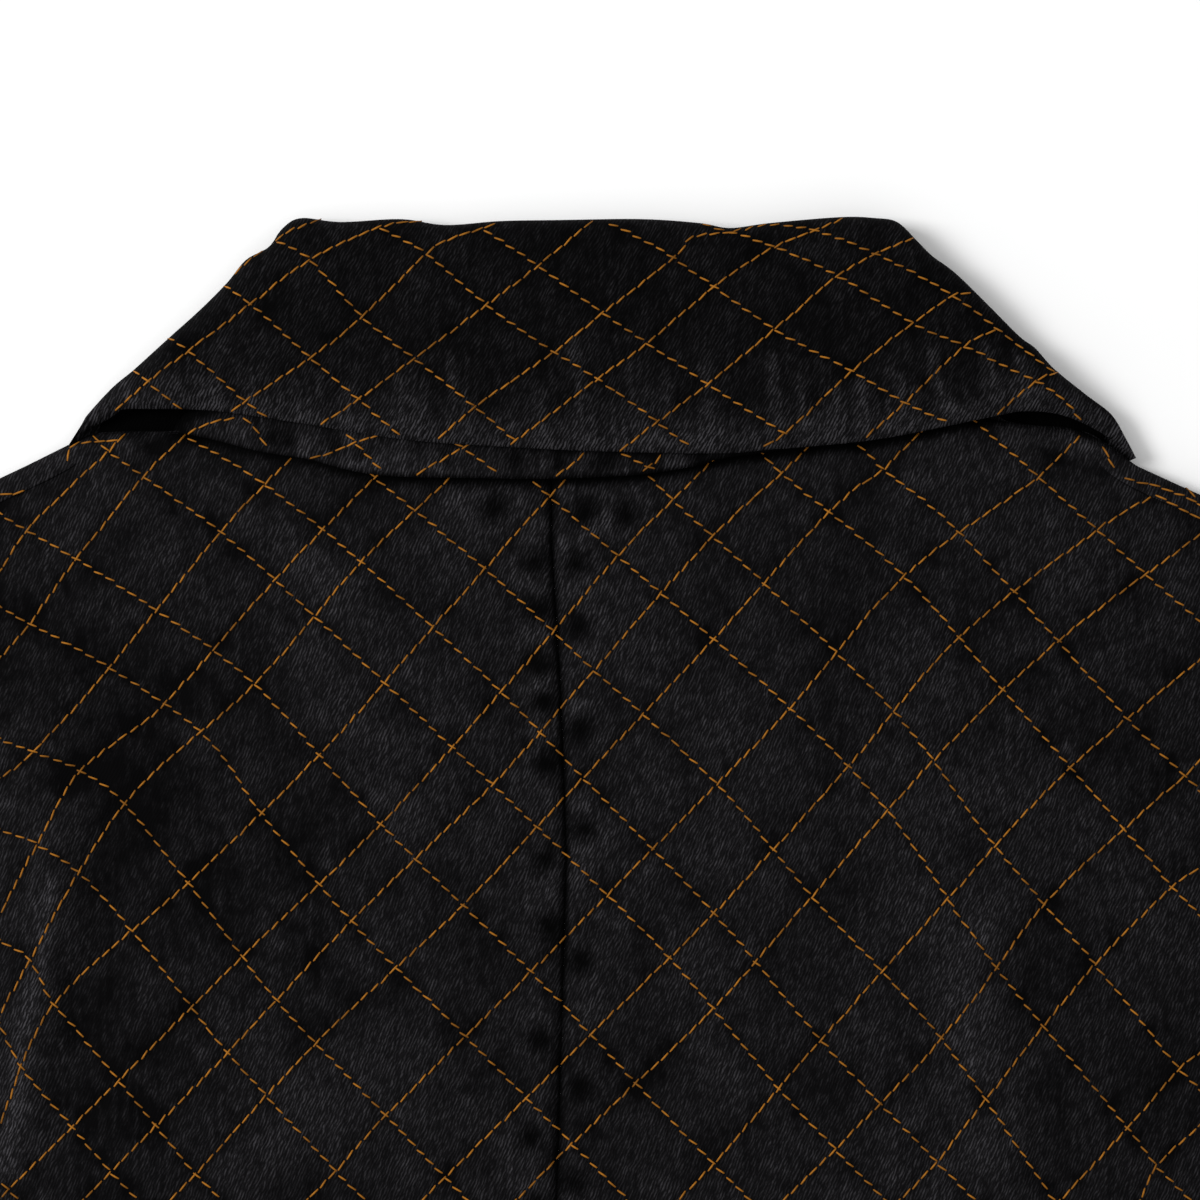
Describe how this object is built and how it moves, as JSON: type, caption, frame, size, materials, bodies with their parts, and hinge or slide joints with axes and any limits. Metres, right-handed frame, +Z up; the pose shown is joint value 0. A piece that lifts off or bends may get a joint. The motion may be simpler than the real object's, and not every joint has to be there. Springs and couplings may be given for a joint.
{
  "type": "blazer",
  "caption": "Quilted denim blazer laid flat with its back up, collar turned down, front edges meeting underneath and sleeves beside the body.",
  "frame": {"origin": "on the surface that the blazer rests on, under the middle of its extents", "axes": "+X to the wearer's right, along the longest extent, +Y from the hem to the collar, +Z up, out of the back"},
  "size_m": [0.8842, 0.756, 0.0172],
  "materials": {
    "denim": "washed black denim twill with mustard quilting thread",
    "thread": "mustard lockstitch thread",
    "button": "satin"
  },
  "bodies": {
    "root": {"back_left": "denim", "back_right": "denim", "front_left": "denim", "front_right": "denim", "upper_collar": "denim", "under_collar": "denim", "top_sleeve_left": "denim", "under_sleeve_left": "denim", "top_sleeve_right": "denim", "under_sleeve_right": "denim", "button_upper": "button", "button_lower": "button"}
  },
  "joints": []
}
